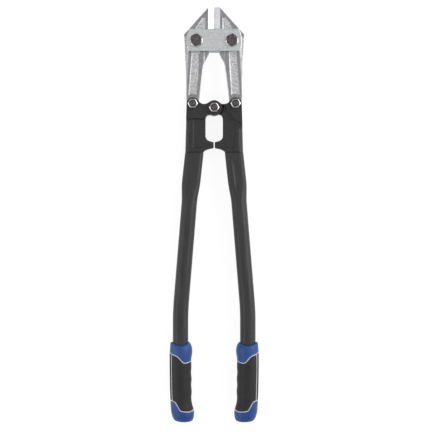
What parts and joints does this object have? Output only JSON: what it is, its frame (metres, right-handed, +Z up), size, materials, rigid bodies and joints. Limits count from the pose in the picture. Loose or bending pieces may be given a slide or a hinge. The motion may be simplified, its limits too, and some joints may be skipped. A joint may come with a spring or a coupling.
{
  "type": "bolt cutters",
  "caption": "Long-handled bolt cutters with forged centre-cut jaws between link plates, forked handle heads, bent steel tubes and two-colour grips.",
  "frame": {"origin": "middle of the tool's plan, on the bench plane it lies on", "axes": "+X across the tool towards the right handle, +Y along it towards the jaw tips, +Z up out of the front link plate"},
  "size_m": [0.1324, 0.61, 0.0349],
  "materials": {
    "plate_steel": "satin ground",
    "washer_zinc": "bright zinc",
    "bolt_black_oxide": "black oxide",
    "jaw_steel": "forged and blasted, ground bevels",
    "head_enamel": "dark grey enamel",
    "nut_zinc": "bright zinc",
    "tube_enamel": "dark grey enamel",
    "grip_core_plastic": "matt moulded",
    "grip_sleeve_rubber": "matt soft moulded",
    "grip_blue_rubber": "matt soft moulded"
  },
  "bodies": {
    "head_plates": {"front_plate": "plate_steel", "back_plate": "plate_steel", "front_washers": "washer_zinc", "back_washers": "washer_zinc", "jaw_bolt_left": "bolt_black_oxide", "jaw_bolt_right": "bolt_black_oxide", "jaw_nut_left": "bolt_black_oxide", "jaw_nut_right": "bolt_black_oxide"},
    "jaw_left": {"jaw_left": "jaw_steel"},
    "jaw_right": {"jaw_right": "jaw_steel"},
    "handle_left": {"head_left": "head_enamel", "toggle_bolt_left": "bolt_black_oxide", "toggle_nut_left": "nut_zinc", "centre_bolt": "bolt_black_oxide", "centre_nut": "nut_zinc", "tube_left": "tube_enamel", "grip_core_left": "grip_core_plastic", "grip_sleeve_left": "grip_sleeve_rubber", "grip_collar_left": "grip_blue_rubber", "grip_cap_left": "grip_blue_rubber"},
    "handle_right": {"head_right": "head_enamel", "toggle_bolt_right": "bolt_black_oxide", "toggle_nut_right": "nut_zinc", "tube_right": "tube_enamel", "grip_core_right": "grip_core_plastic", "grip_sleeve_right": "grip_sleeve_rubber", "grip_collar_right": "grip_blue_rubber", "grip_cap_right": "grip_blue_rubber"}
  },
  "joints": [
    {"name": "jaw_left_pivot", "type": "hinge", "parent": "head_plates", "child": "jaw_left", "pos_m": [-0.0262, 0.2552, 0.0166], "axis": [0, 0, 1], "range_deg": [0, 5.4]},
    {"name": "jaw_right_pivot", "type": "hinge", "parent": "head_plates", "child": "jaw_right", "pos_m": [0.0262, 0.2552, 0.0166], "axis": [0, 0, -1], "range_deg": [0, 5.4]},
    {"name": "handle_left_pivot", "type": "hinge", "parent": "jaw_left", "child": "handle_left", "pos_m": [-0.0314, 0.1624, 0.0166], "axis": [0, 0, -1], "range_deg": [0, 41]},
    {"name": "handle_right_pivot", "type": "hinge", "parent": "jaw_right", "child": "handle_right", "pos_m": [0.0314, 0.1624, 0.0166], "axis": [0, 0, 1], "range_deg": [0, 41]}
  ],
  "couplings": [
    {"joint": "handle_right_pivot", "follows": "handle_left_pivot", "ratio": 1},
    {"joint": "jaw_left_pivot", "follows": "handle_left_pivot", "ratio": 0.127},
    {"joint": "jaw_right_pivot", "follows": "handle_left_pivot", "ratio": 0.127}
  ]
}
